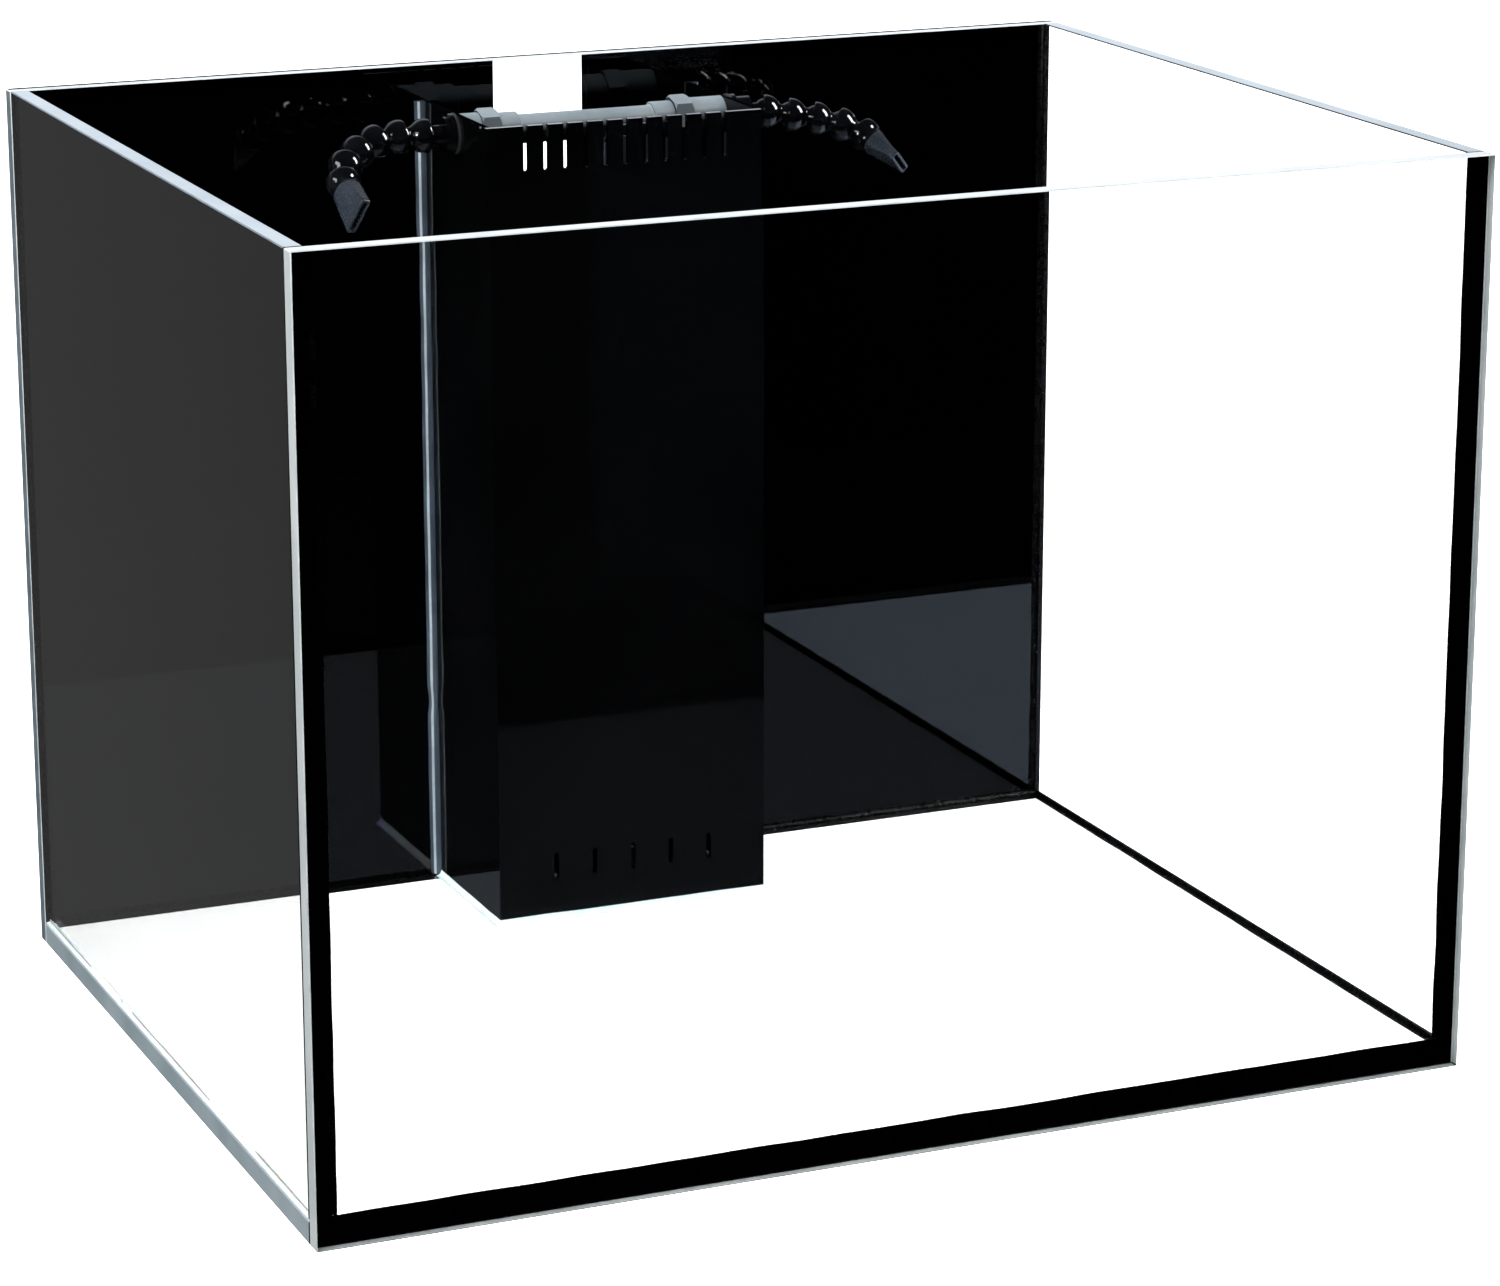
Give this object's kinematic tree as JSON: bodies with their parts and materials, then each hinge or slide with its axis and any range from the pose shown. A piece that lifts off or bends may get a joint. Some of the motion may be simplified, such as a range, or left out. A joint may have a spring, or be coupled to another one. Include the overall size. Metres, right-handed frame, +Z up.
{
  "type": "aquarium",
  "caption": "Rimless glass aquarium with a black back, an internal overflow box at the rear and ball-and-socket return hoses with flat nozzles.",
  "frame": {"origin": "centre of the footprint, on the underside of the bottom pane", "axes": "+X to the right seen from the front, +Y to the back pane, +Z up"},
  "size_m": [0.78, 0.61, 0.6],
  "materials": {
    "clear_glass": "polished clear float glass",
    "black_film": "satin black film",
    "black_silicone": "satin black silicone",
    "clear_silicone": "milky clear silicone",
    "black_acrylic": "polished black acrylic",
    "grey_pvc": "semi-matte grey pipe",
    "black_hose_plastic": "satin moulded black plastic",
    "gasket_rubber": "matte black rubber"
  },
  "bodies": {
    "tank": {"bottom_pane": "clear_glass", "front_pane": "clear_glass", "back_pane": "clear_glass", "left_pane": "clear_glass", "right_pane": "clear_glass", "back_film": "black_film", "seam_front_left": "black_silicone", "seam_front_right": "black_silicone", "seam_back_left": "black_silicone", "seam_back_right": "black_silicone", "seam_bottom_front": "black_silicone", "seam_bottom_back": "black_silicone", "seam_bottom_left": "clear_silicone", "seam_bottom_right": "black_silicone", "overflow_front": "black_acrylic", "overflow_left": "black_acrylic", "overflow_right": "black_acrylic", "overflow_strip_left": "clear_silicone", "overflow_strip_right": "clear_silicone", "overflow_base_bead": "clear_silicone", "return_pipe": "grey_pvc", "return_saddle": "grey_pvc", "return_riser": "grey_pvc", "return_flange": "grey_pvc", "return_gasket": "gasket_rubber", "adaptor_left": "grey_pvc", "adaptor_right": "grey_pvc", "wall_gasket_left": "gasket_rubber", "wall_gasket_right": "gasket_rubber", "hose_base_left": "black_hose_plastic", "hose_base_right": "black_hose_plastic", "drain_flange": "grey_pvc", "drain_gasket": "gasket_rubber", "standpipe": "grey_pvc", "strainer": "grey_pvc"},
    "hose_left_1": {"hose_left_1": "black_hose_plastic"},
    "hose_left_2": {"hose_left_2": "black_hose_plastic"},
    "hose_left_3": {"hose_left_3": "black_hose_plastic"},
    "hose_left_4": {"hose_left_4": "black_hose_plastic"},
    "hose_left_5": {"hose_left_5": "black_hose_plastic"},
    "nozzle_left": {"nozzle_left": "black_hose_plastic"},
    "hose_right_1": {"hose_right_1": "black_hose_plastic"},
    "hose_right_2": {"hose_right_2": "black_hose_plastic"},
    "hose_right_3": {"hose_right_3": "black_hose_plastic"},
    "hose_right_4": {"hose_right_4": "black_hose_plastic"},
    "nozzle_right": {"nozzle_right": "black_hose_plastic"}
  },
  "joints": [
    {"name": "hose_left_1_bend", "type": "hinge", "parent": "tank", "child": "hose_left_1", "pos_m": [-0.122, 0.2286, 0.562], "axis": [0, -0.5, 0.866], "range_deg": [-4, 26]},
    {"name": "hose_left_2_bend", "type": "hinge", "parent": "hose_left_1", "child": "hose_left_2", "pos_m": [-0.13999, 0.22914, 0.56231], "axis": [0, -0.5, 0.866], "range_deg": [-18, 12]},
    {"name": "hose_left_3_bend", "type": "hinge", "parent": "hose_left_2", "child": "hose_left_3", "pos_m": [-0.15772, 0.22644, 0.56075], "axis": [0, -0.5, 0.866], "range_deg": [-28, 2]},
    {"name": "hose_left_4_bend", "type": "hinge", "parent": "hose_left_3", "child": "hose_left_4", "pos_m": [-0.17298, 0.21818, 0.55598], "axis": [0, -0.5, 0.866], "range_deg": [-20, 10]},
    {"name": "hose_left_5_bend", "type": "hinge", "parent": "hose_left_4", "child": "hose_left_5", "pos_m": [-0.18548, 0.20696, 0.54951], "axis": [0, -0.5, 0.866], "range_deg": [-28, 2]},
    {"name": "nozzle_left_bend", "type": "hinge", "parent": "hose_left_5", "child": "nozzle_left", "pos_m": [-0.19223, 0.19251, 0.54116], "axis": [0, -0.5, 0.866], "range_deg": [-28, 2]},
    {"name": "hose_right_1_bend", "type": "hinge", "parent": "tank", "child": "hose_right_1", "pos_m": [0.13, 0.2286, 0.562], "axis": [0, 0.5, -0.866], "range_deg": [-24, 6]},
    {"name": "hose_right_2_bend", "type": "hinge", "parent": "hose_right_1", "child": "hose_right_2", "pos_m": [0.14712, 0.22378, 0.55922], "axis": [0, 0.5, -0.866], "range_deg": [-7, 23]},
    {"name": "hose_right_3_bend", "type": "hinge", "parent": "hose_right_2", "child": "hose_right_3", "pos_m": [0.16414, 0.21871, 0.55629], "axis": [0, 0.5, -0.866], "range_deg": [-14, 16]},
    {"name": "hose_right_4_bend", "type": "hinge", "parent": "hose_right_3", "child": "hose_right_4", "pos_m": [0.18018, 0.21163, 0.5522], "axis": [0, 0.5, -0.866], "range_deg": [-23, 7]},
    {"name": "nozzle_right_bend", "type": "hinge", "parent": "hose_right_4", "child": "nozzle_right", "pos_m": [0.19312, 0.2008, 0.54595], "axis": [0, 0.5, -0.866], "range_deg": [-28, 2]}
  ]
}
